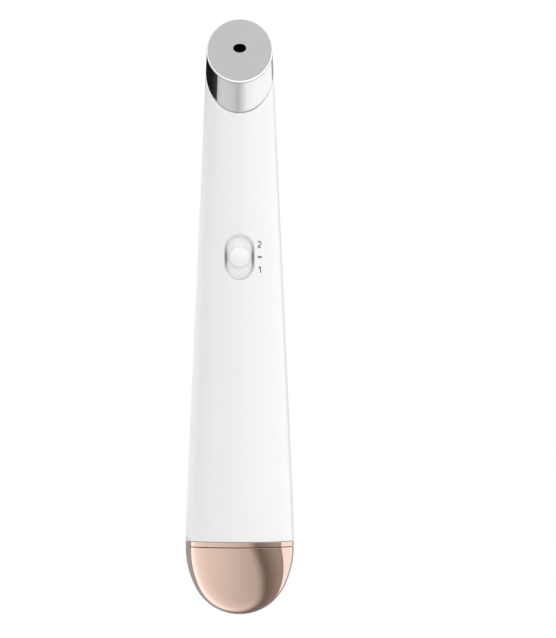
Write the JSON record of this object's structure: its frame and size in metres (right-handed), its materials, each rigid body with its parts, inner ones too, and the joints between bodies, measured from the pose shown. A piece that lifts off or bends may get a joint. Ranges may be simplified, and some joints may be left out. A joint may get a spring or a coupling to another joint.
{
  "type": "heated eye massager wand",
  "caption": "Slim tapered white wand with a slanted chrome heated face, a round slide knob in a stadium recess and a pull-off domed rose-gold battery cap.",
  "frame": {"origin": "lowest point of the domed end cap, on the wand's long axis", "axes": "+Z along the wand towards its head; -Y the front, towards which the slanted face looks and where the slide switch is; +X to the right seen from the front"},
  "size_m": [0.0264, 0.0264, 0.1459],
  "materials": {
    "white_plastic": "glossy moulded white",
    "chrome": "mirror chrome with a satin treatment face",
    "rose_gold": "polished rose-gold anodised",
    "black_plastic": "moulded black",
    "grey_plastic": "moulded grey",
    "rubber": "black silicone rubber",
    "heat_pad": "soft blue-grey silicone pad",
    "ceramic": "unglazed alumina",
    "dark_lens": "smoked clear",
    "red_lens": "tinted clear red",
    "board": "green glass-fibre laminate",
    "steel": "nickel-plated steel",
    "brass": "bright spring brass",
    "cell_wrap": "plain dark wrap",
    "red_wire": "insulated wire",
    "blue_wire": "insulated wire",
    "black_wire": "insulated wire"
  },
  "bodies": {
    "housing": {"body_shell": "white_plastic", "head_cap": "chrome", "head_seal": "rubber", "head_plug": "black_plastic", "thermal_pad": "heat_pad", "heater_plate": "ceramic", "thermistor": "black_plastic", "led": "red_lens", "led_lens": "dark_lens", "slider_retainer": "grey_plastic", "switch_housing": "black_plastic", "circuit_board": "board", "board_components": "black_plastic", "board_screws": "steel", "chassis_front": "grey_plastic", "chassis_rear": "grey_plastic", "motor_can": "steel", "motor_sleeve": "rubber", "heater_leads": "red_wire", "led_leads": "blue_wire", "motor_leads": "black_wire", "battery_cell": "cell_wrap", "positive_contact": "brass", "negative_strip": "brass", "neck_sleeve": "black_plastic", "collar_ring": "rose_gold", "cap_seal": "rubber"},
    "slider": {"slider_button": "white_plastic", "switch_lever": "black_plastic"},
    "cap": {"end_cap": "rose_gold", "cap_liner": "black_plastic", "cap_contact": "brass", "cap_spring": "steel"},
    "rotor": {"motor_shaft": "steel", "eccentric_weight": "brass"}
  },
  "joints": [
    {"name": "switch_slide", "type": "slide", "parent": "housing", "child": "slider", "axis": [0, 0.0454, 0.999], "range_m": [-0.0023, 0.0023]},
    {"name": "cap_pull", "type": "slide", "parent": "housing", "child": "cap", "axis": [0, 0, -1], "range_m": [0, 0.03]},
    {"name": "rotor_spin", "type": "hinge", "parent": "housing", "child": "rotor", "pos_m": [0, 0, 0.1234], "axis": [0, 0, 1], "continuous": true}
  ]
}
